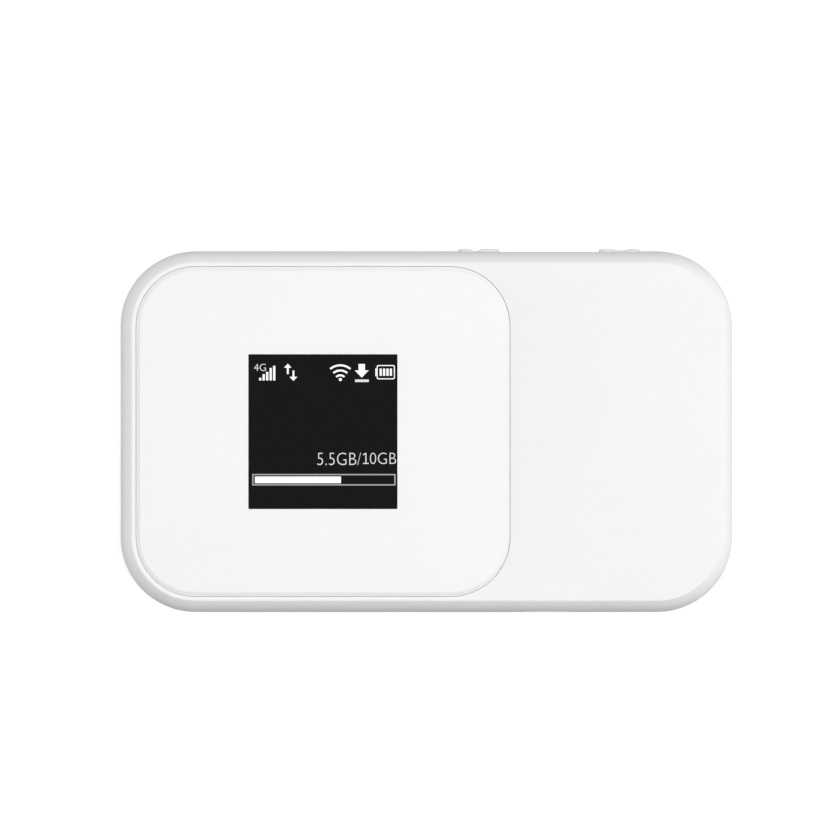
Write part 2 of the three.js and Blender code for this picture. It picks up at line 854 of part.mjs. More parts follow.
// Spring that stands on the board and presses up on an antenna.
function antennaClip(x, y) {
  const low = boardTop + seatGap;
  const high = frontInside - antennaThickness - 3 * seatGap;
  const left = x - clipReach / 2;
  const right = x + clipReach / 2;
  const shape = polygon(
    [left, low], [right, low], [right, low + clipLeaf], [left + 0.5, low + clipLeaf],
    [right - 0.1, high - clipLeaf], [right - 0.1, high], [right - 0.5, high], [left, low + 0.3]
  );
  return slabAlongY(shape, y - clipWidth / 2, y + clipWidth / 2);
}

// ---------------------------------------------------------------- assembly

place(hotspot, 'front_housing', frontHousing(), whiteMatte);
place(hotspot, 'front_panel', frontPanel(), whiteGloss);
place(hotspot, 'panel_adhesive', panelAdhesive(), tape);
place(hotspot, 'middle_frame', middleFrame(), whiteMatte);
place(hotspot, 'rear_cover', rearCover(), whiteMatte);
hotspot.add(displayStack());
place(hotspot, 'lcd_flex', lcdFlex(), filmAmber);
const lcdConnectorLength = flexLength + 2 * lcdConnectorMargin;
const lcdConnector = onBoard(
  displayX, lcdConnectorY, lcdConnectorLength, lcdConnectorWidth, lcdConnectorHeight
);
place(hotspot, 'lcd_connector', lcdConnector, blackPlastic);

place(hotspot, 'main_board', mainBoard(), boardGreen);
place(
  hotspot, 'baseband_shield', shieldCan(basebandX, basebandY, basebandSize, basebandSize), steel
);
place(hotspot, 'radio_shield', shieldCan(displayX, 0, radioLength, radioWidth), steel);
const chips = [
  { name: 'baseband_chip', x: basebandX - 7, y: basebandY - 2, length: 12, width: 12, height: 1.1 },
  { name: 'memory_chip', x: basebandX + 7, y: basebandY - 2, length: 8, width: 10, height: 1 },
  { name: 'wlan_chip', x: basebandX, y: basebandY + 10, length: 6, width: 6, height: 0.9 },
  { name: 'transceiver_chip', x: displayX - 5, y: 0, length: 7, width: 7, height: 1 },
  { name: 'power_amplifier', x: displayX + 6, y: 0, length: 5, width: 4, height: 0.9 },
];
for (const { name, x, y, length, width, height } of chips) {
  place(hotspot, name, onBoard(x, y, length, width, height), blackPlastic);
}
place(hotspot, 'usb_socket', usbSocket(), steel);
place(hotspot, 'usb_tongue', usbTongue(), blackPlastic);

const buttons = [['power', powerButtonX], ['pairing', pairingButtonX]];
for (const [use, x] of buttons) {
  place(hotspot, `${use}_button`, buttonCap(x), whiteMatte);
  place(hotspot, `${use}_switch`, tactSwitch(x), steel);
  place(hotspot, `${use}_switch_stem`, switchStem(x), blackPlastic);
}

place(hotspot, 'reset_switch', resetSwitch(), steel);
place(hotspot, 'reset_button', resetButton(), blackPlastic);
place(hotspot, 'sim_socket', simSocket(), steel);
place(hotspot, 'sim_card', simCard(), whiteMatte);

hotspot.add(batteryGroup());
place(hotspot, 'battery_connector', batteryConnector(), blackPlastic);
for (let i = 0; i < terminalCount; i += 1) {
  place(hotspot, `battery_contact_${i + 1}`, batteryContact(i), gold);
}

const antennaEnd = halfLength - antennaInset;
const wlanAntennaY = [halfWidth - wlanAntennaInset - wlanAntennaWidth, halfWidth - wlanAntennaInset];
const antennas = [
  {
    name: 'main_antenna',
    foil: meander([-antennaEnd, mainAntennaDepth - antennaEnd], about(0, mainAntennaSpan), 5),
    clip: [mainAntennaDepth / 2 - antennaEnd, (clipWidth - mainAntennaSpan) / 2 + 0.5],
  },
  {
    name: 'diversity_antenna',
    foil: meander([antennaEnd - diversityAntennaDepth, antennaEnd], about(0, diversityAntennaSpan), 4),
    clip: [antennaEnd - diversityAntennaDepth / 2, (diversityAntennaSpan - clipWidth) / 2 - 0.5],
  },
  {
    name: 'wlan_antenna',
    foil: meander(about(wlanAntennaX, wlanAntennaLength), wlanAntennaY, 2),
    clip: [wlanAntennaX, wlanAntennaY[0] + clipWidth / 2],
  },
];
for (const { name, foil, clip } of antennas) {
  place(hotspot, name, foil, filmAmber);
  place(hotspot, `${name}_clip`, antennaClip(...clip), gold);
}

eachCorner().forEach(([x, y], i) => {
  place(hotspot, `case_screw_${i + 1}`, screw(x, y, seam - seatGap, screwLength, 1), steel);
});
[-boardScrewX, boardScrewX].forEach((x, i) => {
  place(hotspot, `board_screw_${i + 1}`, screw(x, 0, boardTop + seatGap, boardScrewLength, -1), steel);
});

export default hotspot;
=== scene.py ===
# Pocket mobile hotspot, in the order in which it is put together, from the back to the buttons.
import math
import bmesh
import bpy
from mathutils import Matrix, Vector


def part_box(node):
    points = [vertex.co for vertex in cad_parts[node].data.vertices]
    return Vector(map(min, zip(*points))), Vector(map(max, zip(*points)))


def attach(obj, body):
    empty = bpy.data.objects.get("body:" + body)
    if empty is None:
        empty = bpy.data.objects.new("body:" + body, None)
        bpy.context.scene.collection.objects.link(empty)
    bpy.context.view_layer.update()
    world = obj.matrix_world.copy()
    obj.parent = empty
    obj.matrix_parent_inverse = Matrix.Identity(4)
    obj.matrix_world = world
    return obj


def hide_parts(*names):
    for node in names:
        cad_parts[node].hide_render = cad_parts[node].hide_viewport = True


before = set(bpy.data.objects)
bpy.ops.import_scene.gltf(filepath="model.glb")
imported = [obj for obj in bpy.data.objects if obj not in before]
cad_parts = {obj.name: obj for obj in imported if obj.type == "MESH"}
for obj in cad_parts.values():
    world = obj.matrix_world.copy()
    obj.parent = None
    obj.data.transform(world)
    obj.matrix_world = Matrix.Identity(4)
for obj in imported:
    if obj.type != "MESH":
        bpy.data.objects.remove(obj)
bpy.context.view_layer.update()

# ---------------------------------------------------------------- rear cover
# The back of the hotspot is a tray moulded in white ABS, with a fine spark-eroded grain.
# Eight tabs on its wall reach up into the front housing, and a notch at the seam takes a nail.

MM = 0.001
body_low, body_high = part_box("front_housing")
body_length = body_high.x - body_low.x
body_width = body_high.y - body_low.y
half_length = body_length / 2
half_width = body_width / 2
face = body_high.z
seam = body_low.z
seam_gap = 0.15 * MM
corner_radius = 13.1 * MM
rim_height = 3.72 * MM
girdle = face - rim_height  # the widest level
back_roll = 4.5 * MM  # how far the side reaches in under the flat back
inner_roll = 4 * MM  # the same on the inside of the wall
cover_wall = 1.1 * MM
edge_round = 0.12 * MM  # height of the rounding of the edges along the seam
edge_inset = 0.7 * edge_round
hook_size = (5 * MM, 0.6 * MM)
hook_inset = 1.6 * MM
hook_bottom = 4 * MM
hook_ease = 0.2 * MM
hook_places = [(x * MM, side) for x in (-34, 0, 34) for side in (-1, 1)]
notch_size = (9 * MM, 2.2 * MM)
notch_depth = 0.9 * MM
notch_radius = 1.05 * MM
notch_x = -17 * MM
past = 1 * MM  # how far a cutting tool runs past what it cuts
apart = 50 * MM  # rings are held this far apart while they are joined, so that none is twisted


def ring(bm, length, width, radius, level, x=0.0, y=0.0, steps=20, cuts=0):
    """A level loop of edges in the shape of a rounded rectangle round (x, y)."""
    others = set(bm.edges)
    corners = bmesh.ops.create_grid(bm, x_segments=1, y_segments=1, size=0.5)["verts"]
    bmesh.ops.scale(bm, vec=(length, width, 1), verts=corners)
    bmesh.ops.translate(bm, vec=(x, y, level), verts=corners)
    bmesh.ops.bevel(
        bm, geom=corners, offset=radius, offset_type="OFFSET", segments=steps,
        profile=0.5, affect="VERTICES", material=-1,
    )
    plates = [f for f in bm.faces if f.edges[0] not in others]
    bmesh.ops.delete(bm, geom=plates, context="FACES_ONLY")
    loop = [e for e in bm.edges if e not in others]
    if cuts:
        longest = max(e.calc_length() for e in loop)
        straight = [e for e in loop if e.calc_length() > 0.9 * longest]
        bmesh.ops.subdivide_edges(bm, edges=straight, cuts=cuts)
        loop = [e for e in bm.edges if e not in others]
    return loop


def loft(bm, rings, hollow=False, open_ends=False):
    """Skins a run of rings. Its ends are closed, or joined to each other if it is hollow."""
    pairs = list(zip(rings, rings[1:]))
    if hollow:
        pairs.append((rings[-1], rings[0]))
    for lower, upper in pairs:
        points = list({v for e in upper for v in e.verts})
        bmesh.ops.translate(bm, vec=(0, 0, apart), verts=points)
        bmesh.ops.bridge_loops(bm, edges=lower + upper)
        bmesh.ops.translate(bm, vec=(0, 0, -apart), verts=points)
    if not hollow and not open_ends:
        bmesh.ops.contextual_create(bm, geom=rings[0])
        bmesh.ops.contextual_create(bm, geom=rings[-1])


def shell_ring(bm, inset, level):
    """The outline of the body at a level, moved in from its widest line."""
    return ring(
        bm, body_length - 2 * inset, body_width - 2 * inset, corner_radius - inset, level
    )


def back_inset(level, wall=0.0):
    """How far the rolled side has come in at a level. The curve is a quarter of an ellipse."""
    roll = inner_roll if wall else back_roll
    sine = min(1.0, (girdle - level) / (girdle - wall))
    return wall + roll * (1 - math.sqrt(1 - sine * sine))


def levels_between(bottom, top, wall, count):
    """Levels up the rolled side, closer together near the back, where it curves most."""
    first = math.asin(min(1.0, (girdle - bottom) / (girdle - wall)))
    last = math.asin((girdle - top) / (girdle - wall))
    turns = [first + (last - first) * i / count for i in range(count + 1)]
    return [girdle - (girdle - wall) * math.sin(t) for t in turns]


def piece(bm, name, material, sharp=25):
    """Makes the bmesh an object. Faces that meet at less than the sharp angle shade as one."""
    bmesh.ops.remove_doubles(bm, verts=bm.verts, dist=1e-7)
    bmesh.ops.recalc_face_normals(bm, faces=bm.faces)
    mesh = bpy.data.meshes.new(name)
    bm.to_mesh(mesh)
    bm.free()
    mesh.materials.append(material)
    mesh.shade_smooth()
    mesh.set_sharp_from_angle(angle=math.radians(sharp))
    made = bpy.data.objects.new(name, mesh)
    bpy.context.scene.collection.objects.link(made)
    return made


def work(made, tools, operation, sharp=25):
    """Cuts the tools out of a piece, or adds them to it, and throws the tools away."""
    for tool in tools:
        step = made.modifiers.new("step", "BOOLEAN")
        step.operation = operation
        step.solver = "EXACT"
        step.object = tool
    graph = bpy.context.evaluated_depsgraph_get()
    shaped = bpy.data.meshes.new_from_object(made.evaluated_get(graph))
    made.modifiers.clear()
    made.data = shaped
    shaped.shade_smooth()
    shaped.set_sharp_from_angle(angle=math.radians(sharp))
    for tool in tools:
        bpy.data.objects.remove(tool)


def fit(made, body, slot, *nodes):
    """The piece moves with its body, and stands for the nodes it was drawn over."""
    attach(made, body)
    if nodes:
        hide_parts(*nodes)


def turn_to_side(bm):
    """Turns what was drawn lying down so that up becomes +Y."""
    bmesh.ops.rotate(bm, verts=bm.verts, matrix=Matrix.Rotation(-math.pi / 2, 3, "X"))


class Signal:
    """A shader's socket. Sums with it add Math nodes, and new() adds any other node."""

    def __init__(self, tree, socket=None):
        self.tree = tree
        self.socket = socket

    def new(self, kind, settings, sockets, out=0):
        node = self.tree.nodes.new(kind)
        for name, value in settings.items():
            setattr(node, name, value)
        for name, value in sockets.items():
            if isinstance(value, Signal):
                self.tree.links.new(value.socket, node.inputs[name])
            else:
                node.inputs[name].default_value = value
        return Signal(self.tree, node.outputs[out] if node.outputs else None)

    def sum(self, operation, first, second):
        return self.new("ShaderNodeMath", {"operation": operation}, {0: first, 1: second})

    def __add__(self, other):
        return self.sum("ADD", self, other)

    def __mul__(self, other):
        return self.sum("MULTIPLY", self, other)

    def __gt__(self, other):
        return self.sum("GREATER_THAN", self, other)

    def __lt__(self, other):
        return self.sum("LESS_THAN", self, other)

    __radd__ = __add__
    __rmul__ = __mul__


def finish(name, shade):
    """A material. The function shade lays out its nodes and gives the shader's sockets."""
    material = bpy.data.materials.new(name)
    material.use_nodes = True
    material.node_tree.nodes.clear()
    start = Signal(material.node_tree)
    place = start.new("ShaderNodeTexCoord", {}, {}, "Object")
    shader = start.new("ShaderNodeBsdfPrincipled", {}, shade(place))
    start.new("ShaderNodeOutputMaterial", {}, {"Surface": shader})
    return material


def noise(place, scale, detail=2.0, roughness=0.5):
    """Noise from 0 to 1, with its patches about 1/scale metres across."""
    sockets = {"Vector": place, "Scale": scale, "Detail": detail, "Roughness": roughness}
    return place.new("ShaderNodeTexNoise", {}, sockets)


def colours(mask, low, high):
    """The colour low where the mask is 0, and high where it is 1."""
    return mask.new("ShaderNodeMix", {"data_type": "RGBA"}, {0: mask, 6: low, 7: high}, 2)


def relief(height, distance, strength=1.0):
    """A bump as deep as distance, in metres."""
    sockets = {"Height": height, "Distance": distance, "Strength": strength}
    return height.new("ShaderNodeBump", {}, sockets)


def moulded_white(place):
    grain = noise(place, 9000, 2.0)
    cloud = noise(place, 90, 3.0)
    return {
        "Base Color": colours(cloud, (0.80, 0.80, 0.80, 1), (0.82, 0.82, 0.82, 1)),
        "Roughness": 0.42 + 0.10 * grain,
        "Normal": relief(grain, 0.006 * MM),
    }


shell_white = finish("shell_white", moulded_white)

bm = bmesh.new()
top = seam - seam_gap
outside = levels_between(0.0, top - edge_round, 0.0, 18)
inside = levels_between(cover_wall, top - edge_round, cover_wall, 12)
rings = [shell_ring(bm, back_inset(z), z) for z in outside]
rings.append(shell_ring(bm, back_inset(top) + edge_inset, top))
rings.append(shell_ring(bm, back_inset(top, cover_wall) - edge_inset, top))
rings.extend(shell_ring(bm, back_inset(z, cover_wall), z) for z in reversed(inside))
loft(bm, rings)
cover_shell = piece(bm, "rear_cover_shell", shell_white)


def hook(x, y, length, width):
    """One tab, with its upper edges eased."""
    tab = bmesh.new()
    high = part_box("rear_cover")[1].z
    bmesh.ops.create_cube(tab, size=1)
    bmesh.ops.scale(tab, vec=(length, width, high - hook_bottom), verts=tab.verts)
    bmesh.ops.translate(tab, vec=(x, y, (high + hook_bottom) / 2), verts=tab.verts)
    upper = [e for e in tab.edges if min(v.co.z for v in e.verts) > high - hook_ease / 2]
    bmesh.ops.bevel(
        tab, geom=upper, offset=hook_ease, segments=3, profile=0.5, affect="EDGES", material=-1
    )
    return piece(tab, "tab", shell_white)


reach = hook_inset + hook_size[1] / 2
hooks = [hook(x, side * (half_width - reach), *hook_size) for x, side in hook_places]
hooks += [hook(side * (half_length - reach), 0, *reversed(hook_size)) for side in (-1, 1)]
work(cover_shell, hooks, "UNION")
bm = bmesh.new()
notch_rings = [
    ring(bm, *notch_size, notch_radius, level, x=notch_x, y=-top)
    for level in (-half_width - past, -half_width + notch_depth)
]
loft(bm, notch_rings)
turn_to_side(bm)
work(cover_shell, [piece(bm, "notch", shell_white)], "DIFFERENCE")
fit(cover_shell, "back", "shell_white", "rear_cover")

# ---------------------------------------------------------------- middle frame
# The chassis between the two shells, moulded in white: the battery bay, the well for the card and
# the seats for the board. It is screwed to the front housing's bosses from behind.

moulded_ease = 0.12 * MM  # rounding of the edges of moulded parts


def eased(node, name, body, slot, material, width, segments=2, sharp=30):
    """A finer copy of a node, whose sharp edges are rounded by width."""
    bm = bmesh.new()
    bm.from_mesh(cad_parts[node].data)
    bmesh.ops.remove_doubles(bm, verts=bm.verts, dist=1e-6)
    bmesh.ops.dissolve_limit(
        bm, angle_limit=math.radians(1), verts=bm.verts, edges=bm.edges
    )
    corners = [e for e in bm.edges if e.calc_face_angle(0) > math.radians(sharp)]
    bmesh.ops.bevel(
        bm, geom=corners, offset=width, offset_type="OFFSET", segments=segments,
        profile=0.5, affect="EDGES", material=-1, clamp_overlap=True,
    )
    made = piece(bm, name, material, 35)
    fit(made, body, slot, node)
    return made


def dress(material, *nodes):
    """Gives nodes whose shape is right their finish."""
    for node in nodes:
        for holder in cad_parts[node].material_slots:
            holder.material = material


def frame_plastic(place):
    grain = noise(place, 5000, 2.0)
    flow = noise(place, 120, 3.0, 0.6)
    return {
        "Base Color": colours(flow, (0.70, 0.70, 0.69, 1), (0.77, 0.77, 0.76, 1)),
        "Roughness": 0.48 + 0.12 * grain,
        "Normal": relief(grain, 0.008 * MM),
    }


frame_white = finish("frame_white", frame_plastic)
eased(
    "middle_frame", "middle_frame_moulding", "main_unit", "frame_white", frame_white, moulded_ease
)

# ---------------------------------------------------------------- battery
# A flat lithium pouch in a grey printed film, with a black moulded cap that carries three gilt
# terminals. It drops into the bay, against the spring contacts of a block on the board.

cap_ease = 0.15 * MM
pad_ease = 0.02 * MM


def film_wrap(place):
    crease = noise(place, 260, 5.0, 0.6)
    cloud = noise(place, 50, 2.0)
    return {
        "Base Color": colours(cloud, (0.50, 0.51, 0.53, 1), (0.60, 0.61, 0.63, 1)),
        "Roughness": 0.30 + 0.20 * crease,
        "Normal": relief(crease, 0.05 * MM, 0.6),
    }


def black_moulding(place):
    fleck = noise(place, 3500, 3.0, 0.7)
    return {
        "Base Color": colours(fleck, (0.010, 0.010, 0.011, 1), (0.022, 0.022, 0.023, 1)),
        "Roughness": 0.42 + 0.18 * fleck,
        "Normal": relief(fleck, 0.006 * MM),
    }


def gilt(place):
    wear = noise(place, 900, 3.0)
    return {
        "Base Color": colours(wear, (0.72, 0.50, 0.20, 1), (0.86, 0.64, 0.30, 1)),
        "Metallic": 1.0,
        "Roughness": 0.16 + 0.16 * wear,
        "Normal": relief(wear, 0.002 * MM),
    }


cell_wrap = finish("cell_wrap", film_wrap)
moulded_black = finish("moulded_black", black_moulding)
contact_gold = finish("contact_gold", gilt)
eased("battery_cell", "battery_pouch", "battery", "cell_wrap", cell_wrap, moulded_ease, 3)
eased("battery_cap", "battery_end_cap", "battery", "moulded_black", moulded_black, cap_ease)
for i in (1, 2, 3):
    eased(
        f"battery_terminal_{i}", f"battery_pad_{i}", "battery", "contact_gold", contact_gold,
        pad_ease,
    )
    eased(
        f"battery_contact_{i}", f"battery_spring_{i}", "main_unit", "contact_gold", contact_gold,
        pad_ease,
    )
eased(
    "battery_connector", "battery_block", "main_unit", "moulded_black", moulded_black, moulded_ease
)

# ---------------------------------------------------------------- main board
# A green glass-fibre board with copper tracks under its solder mask. It lies on the frame's seats
# under two screws, and carries the chips, most of them under two tinned steel cans.

track_width = 0.02  # in the brick pattern's own units
can_ease = 0.35 * MM
vent_pitch = 1.7 * MM
vent_margin = 3 * MM  # from a can's edge to its first row of vents
vent_radius = 0.32 * MM
vent_depth = 0.8 * MM


def solder_mask(place):
    tracks = place.new(
        "ShaderNodeTexBrick", {"offset": 0.35},
        {"Vector": place, "Scale": 420.0, "Mortar Size": track_width, "Mortar Smooth": 0.1}, 1,
    )
    patches = noise(place, 220, 2.0) > 0.47
    via = place.new(
        "ShaderNodeTexVoronoi", {"feature": "F1"}, {"Vector": place, "Scale": 520.0}
    ) < 0.13
    copper = tracks * patches
    green = colours(copper, (0.010, 0.075, 0.036, 1), (0.020, 0.13, 0.06, 1))
    return {
        "Base Color": colours(via, green, (0.62, 0.47, 0.22, 1)),
        "Metallic": via,
        "Roughness": 0.32 + 0.08 * patches,
        "Normal": relief(copper + via, 0.02 * MM, 0.5),
    }


def tinned_steel(place):
    streaks = noise(
        place.new("ShaderNodeVectorMath", {"operation": "MULTIPLY"}, {0: place, 1: (1, 14, 1)}),
        420, 3.0, 0.6,
    )
    return {
        "Base Color": colours(streaks, (0.56, 0.57, 0.58, 1), (0.70, 0.70, 0.70, 1)),
        "Metallic": 1.0,
        "Roughness": 0.26 + 0.16 * streaks,
        "Normal": relief(streaks, 0.002 * MM),
    }


board_green = finish("board_green", solder_mask)
can_steel = finish("can_steel", tinned_steel)
dress(board_green, "main_board")
dress(moulded_black, "baseband_chip", "memory_chip", "wlan_chip", "transceiver_chip")
dress(moulded_black, "power_amplifier", "lcd_connector")


def can(node, name):
    """A shielding can: rounded shoulders, and rows of small vent holes in its lid."""
    made = eased(node, name, "main_unit", "can_steel", can_steel, can_ease, 3)
    low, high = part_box(node)
    across = int((high.x - low.x - 2 * vent_margin) / vent_pitch)
    down = int((high.y - low.y - 2 * vent_margin) / vent_pitch)
    middle = (low + high) / 2
    vents = bmesh.new()
    for i in range(across + 1):
        for j in (0, 1, down - 1, down):
            x = middle.x + (i - across / 2) * vent_pitch
            y = middle.y + (j - down / 2) * vent_pitch
            bmesh.ops.create_cone(
                vents, cap_ends=True, segments=12, radius1=vent_radius, radius2=vent_radius,
                depth=vent_depth, matrix=Matrix.Translation((x, y, high.z)),
            )
    work(made, [piece(vents, "vents", can_steel)], "DIFFERENCE")


can("baseband_shield", "baseband_can")
can("radio_shield", "radio_can")

# ---------------------------------------------------------------- card and its socket
# A plastic network card with eight gilt pads, in a tinned socket under the board. It slides in
# from the well beside the battery.

card_low, card_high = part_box("sim_card")
card_x = (card_low.x + card_high.x) / 2
card_ease = 0.05 * MM
socket_ease = 0.06 * MM
contact_pitch = 2.54 * MM
contact_size = (2.0 * MM, 1.7 * MM)
contact_radius = 0.2 * MM
contact_column = 3.8 * MM  # from the card's middle line
contact_middle = 8 * MM  # of the columns, from the card's lower edge
contact_sunk = 0.05 * MM
contact_proud = 0.005 * MM


def card_plastic(place):
    fleck = noise(place, 1500, 2.0)
    return {
        "Base Color": colours(fleck, (0.76, 0.77, 0.78, 1), (0.83, 0.84, 0.85, 1)),
        "Roughness": 0.36 + 0.10 * fleck,
        "Normal": relief(fleck, 0.003 * MM),
    }


card_white = finish("card_white", card_plastic)
eased("sim_card", "network_card", "sim", "card_white", card_white, card_ease)
eased("sim_socket", "card_socket", "main_unit", "can_steel", can_steel, socket_ease)
pads = bmesh.new()
for i in range(4):
    for side in (-1, 1):
        pad_rings = [
            ring(
                pads, *contact_size, contact_radius, level, card_x + side * contact_column,
                card_low.y + contact_middle + (i - 1.5) * contact_pitch, steps=4,
            )
            for level in (card_high.z - contact_sunk, card_high.z + contact_proud)
        ]
        loft(pads, pad_rings)
fit(piece(pads, "network_card_pads", contact_gold), "sim", "contact_gold")

# ---------------------------------------------------------------- charging socket
# The inlet for power and data: a folded steel shell soldered to the board, round a black tongue
# with five gilt contacts on its lower face.

shell_ease = 0.07 * MM
tongue_ease = 0.06 * MM
leaf_count = 5
leaf_pitch = 0.65 * MM
leaf_size = (0.3 * MM, 3.2 * MM)
leaf_radius = 0.08 * MM
leaf_middle = 2.0 * MM  # from the tongue's tip
leaf_proud = 0.02 * MM
leaf_sunk = 0.05 * MM
tongue_low, tongue_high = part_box("usb_tongue")
eased("usb_socket", "charging_shell", "main_unit", "can_steel", can_steel, shell_ease)
eased("usb_tongue", "charging_tongue", "main_unit", "moulded_black", moulded_black, tongue_ease)
leaves = bmesh.new()
leaf_y = tongue_low.y + leaf_middle
for i in range(leaf_count):
    leaf_x = (tongue_low.x + tongue_high.x) / 2 + (i - (leaf_count - 1) / 2) * leaf_pitch
    leaf_rings = [
        ring(leaves, *leaf_size, leaf_radius, level, leaf_x, leaf_y, steps=3)
        for level in (tongue_low.z - leaf_proud, tongue_low.z + leaf_sunk)
    ]
    loft(leaves, leaf_rings)
fit(piece(leaves, "charging_contacts", contact_gold), "main_unit", "contact_gold")

# ---------------------------------------------------------------- switches and reset button
# Two side-push switches stand at the board's edge behind the keys, and a third is soldered
# underneath, with a small button in the frame that a pin can reach once the cover is off.

switch_ease = 0.08 * MM

for kind in ("power", "pairing"):
    eased(
        f"{kind}_switch", f"{kind}_switch_body", "main_unit", "moulded_black", moulded_black,
        switch_ease,
    )
eased("reset_switch", "reset_switch_body", "main_unit", "can_steel", can_steel, switch_ease)
for kind in ("power", "pairing"):
    eased(
        f"{kind}_switch_stem", f"{kind}_switch_plunger", f"{kind}_key", "moulded_black",
        moulded_black, switch_ease,
    )
eased(
    "reset_button", "reset_pin_button", "reset_key", "moulded_black", moulded_black, switch_ease
)

# ---------------------------------------------------------------- display
# A small colour panel over a white moulded light guide, held in the front housing's rib. A foam
# frame seals it to the window, and an amber ribbon takes it to the board.

glass_ease = 0.06 * MM


def foam_ring(place):
    cells = place.new("ShaderNodeTexVoronoi", {}, {"Vector": place, "Scale": 6000.0})
    return {
        "Base Color": colours(cells, (0.020, 0.020, 0.022, 1), (0.045, 0.045, 0.048, 1)),
        "Roughness": 0.9,
        "Normal": relief(cells, 0.03 * MM),
    }


def display_glass(place):
    film = noise(place, 400, 2.0)
    return {
        "Base Color": colours(film, (0.020, 0.023, 0.027, 1), (0.035, 0.038, 0.042, 1)),
        "Roughness": 0.05 + 0.05 * film,
        "Coat Weight": 0.5,
        "Coat Roughness": 0.03,
    }


def guide_white(place):
    cloud = noise(place, 300, 2.0)
    return {
        "Base Color": colours(cloud, (0.78, 0.78, 0.79, 1), (0.86, 0.86, 0.87, 1)),
        "Roughness": 0.38 + 0.08 * cloud,
        "Normal": relief(cloud, 0.004 * MM),
    }


def ribbon(place):
    lines = place.new(
        "ShaderNodeTexWave", {"wave_type": "BANDS", "bands_direction": "X"},
        {"Vector": place, "Scale": 620.0, "Distortion": 0.0},
    )
    tracks = lines > 0.55
    return {
        "Base Color": colours(tracks, (0.50, 0.20, 0.035, 1), (0.62, 0.30, 0.08, 1)),
        "Roughness": 0.30 + 0.08 * lines,
        "Normal": relief(tracks, 0.01 * MM, 0.5),
    }


dress(finish("foam", foam_ring), "lcd_gasket")
lcd_glass = finish("lcd_glass", display_glass)
eased("lcd_panel", "lcd_glass_sheet", "main_unit", "lcd_glass", lcd_glass, glass_ease)
guide = finish("backlight_white", guide_white)
eased("backlight_unit", "light_guide", "main_unit", "backlight_white", guide, moulded_ease)
dress(finish("film_amber", ribbon), "lcd_flex")

# ---------------------------------------------------------------- antennas and spring clips
# Three gilt copper foils lie on the inside of the front housing's face, cut to run to and fro.
# A spring clip on the board presses on each.

spring_ease = 0.03 * MM

dress(contact_gold, "main_antenna", "diversity_antenna", "wlan_antenna")
for part in ("main", "diversity", "wlan"):
    eased(
        f"{part}_antenna_clip", f"{part}_spring", "main_unit", "contact_gold", contact_gold,
        spring_ease,
    )

# ---------------------------------------------------------------- screws
# Four pan-headed screws hold the frame to the front housing and two hold the board to the frame.
# They are zinc-plated steel, with a cross recess and a fine thread.

screw_radius = 0.7 * MM
head_radius = 1.5 * MM
head_height = 0.8 * MM
head_edge = [(0.45, 0.0), (0.2, 0.06), (0.04, 0.22), (0.0, 0.4)]  # inset and depth, in millimetres
thread_pitch = 0.3 * MM
thread_depth = 0.1 * MM
neck = 0.1 * MM  # plain shank between the head and the thread
point = 0.4 * MM  # how far the screw narrows at its end
cross_half_length = 0.85 * MM
cross_half_width = 0.16 * MM
cross_depth = 0.4 * MM
cross_radius = 0.05 * MM
nearly_round = 0.999  # a ring keeps a short straight edge on each side


def zinc(place):
    bloom = noise(place, 1200, 3.0)
    return {
        "Base Color": colours(bloom, (0.44, 0.45, 0.47, 1), (0.60, 0.60, 0.61, 1)),
        "Metallic": 1.0,
        "Roughness": 0.28 + 0.18 * bloom,
        "Normal": relief(bloom, 0.002 * MM),
    }


screw_steel = finish("screw_steel", zinc)


def block(x, y, z, radius, name, steps=4, hollow=None):
    """A rounded block between two corners, or a rounded frame if hollow is the room inside."""
    solid = bmesh.new()
    sides = [(x, y, radius)] if hollow is None else [(x, y, radius), hollow]
    stacks = []
    for (x0, x1), (y0, y1), r in sides:
        middle = ((x0 + x1) / 2, (y0 + y1) / 2)
        stacks.append([ring(solid, x1 - x0, y1 - y0, r, level, *middle, steps) for level in z])
    if hollow is None:
        loft(solid, stacks[0])
    else:
        loft(solid, stacks[0] + stacks[1][::-1], hollow=True)
    return piece(solid, name, shell_white)


def screw(node, head_up):
    """One screw, drawn head up, from the top of its head to the end of its thread."""
    low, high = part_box(node)
    x = (low.x + high.x) / 2
    y = (low.y + high.y) / 2
    top = high.z if head_up else -low.z
    length = high.z - low.z
    profile = [(head_radius - inset * MM, down * MM) for inset, down in head_edge]
    profile += [(head_radius, head_height), (screw_radius, head_height)]
    turns = int((length - head_height - point) / thread_pitch)
    for i in range(turns):
        crest = head_height + neck + i * thread_pitch
        profile.append((screw_radius, crest))
        profile.append((screw_radius - thread_depth, crest + thread_pitch / 2))
    profile.append((screw_radius - point, length))
    bm = bmesh.new()
    rings = [
        ring(bm, 2 * r, 2 * r, nearly_round * r, top - down, x, y, steps=7) for r, down in profile
    ]
    loft(bm, rings)
    if not head_up:
        bmesh.ops.scale(bm, vec=(1, 1, -1), verts=bm.verts)
    made = piece(bm, node + "_turned", screw_steel)
    head_top = high.z if head_up else low.z
    z = (head_top - cross_depth, head_top + cross_depth)
    halves = (cross_half_length, cross_half_width)
    for half_x, half_y in (halves, halves[::-1]):
        slot = block((x - half_x, x + half_x), (y - half_y, y + half_y), z, cross_radius, "slot", 2)
        work(made, [slot], "DIFFERENCE")
    fit(made, "main_unit", "screw_steel", node)


for i in (1, 2, 3, 4):
    screw(f"case_screw_{i}", head_up=False)
for i in (1, 2):
    screw(f"board_screw_{i}", head_up=True)

# ---------------------------------------------------------------- front housing
# The upper shell, moulded like the rear cover: a flat face with a crisp crease round it, and a rim
# that rolls down to the seam. The screws go up into its four bosses.

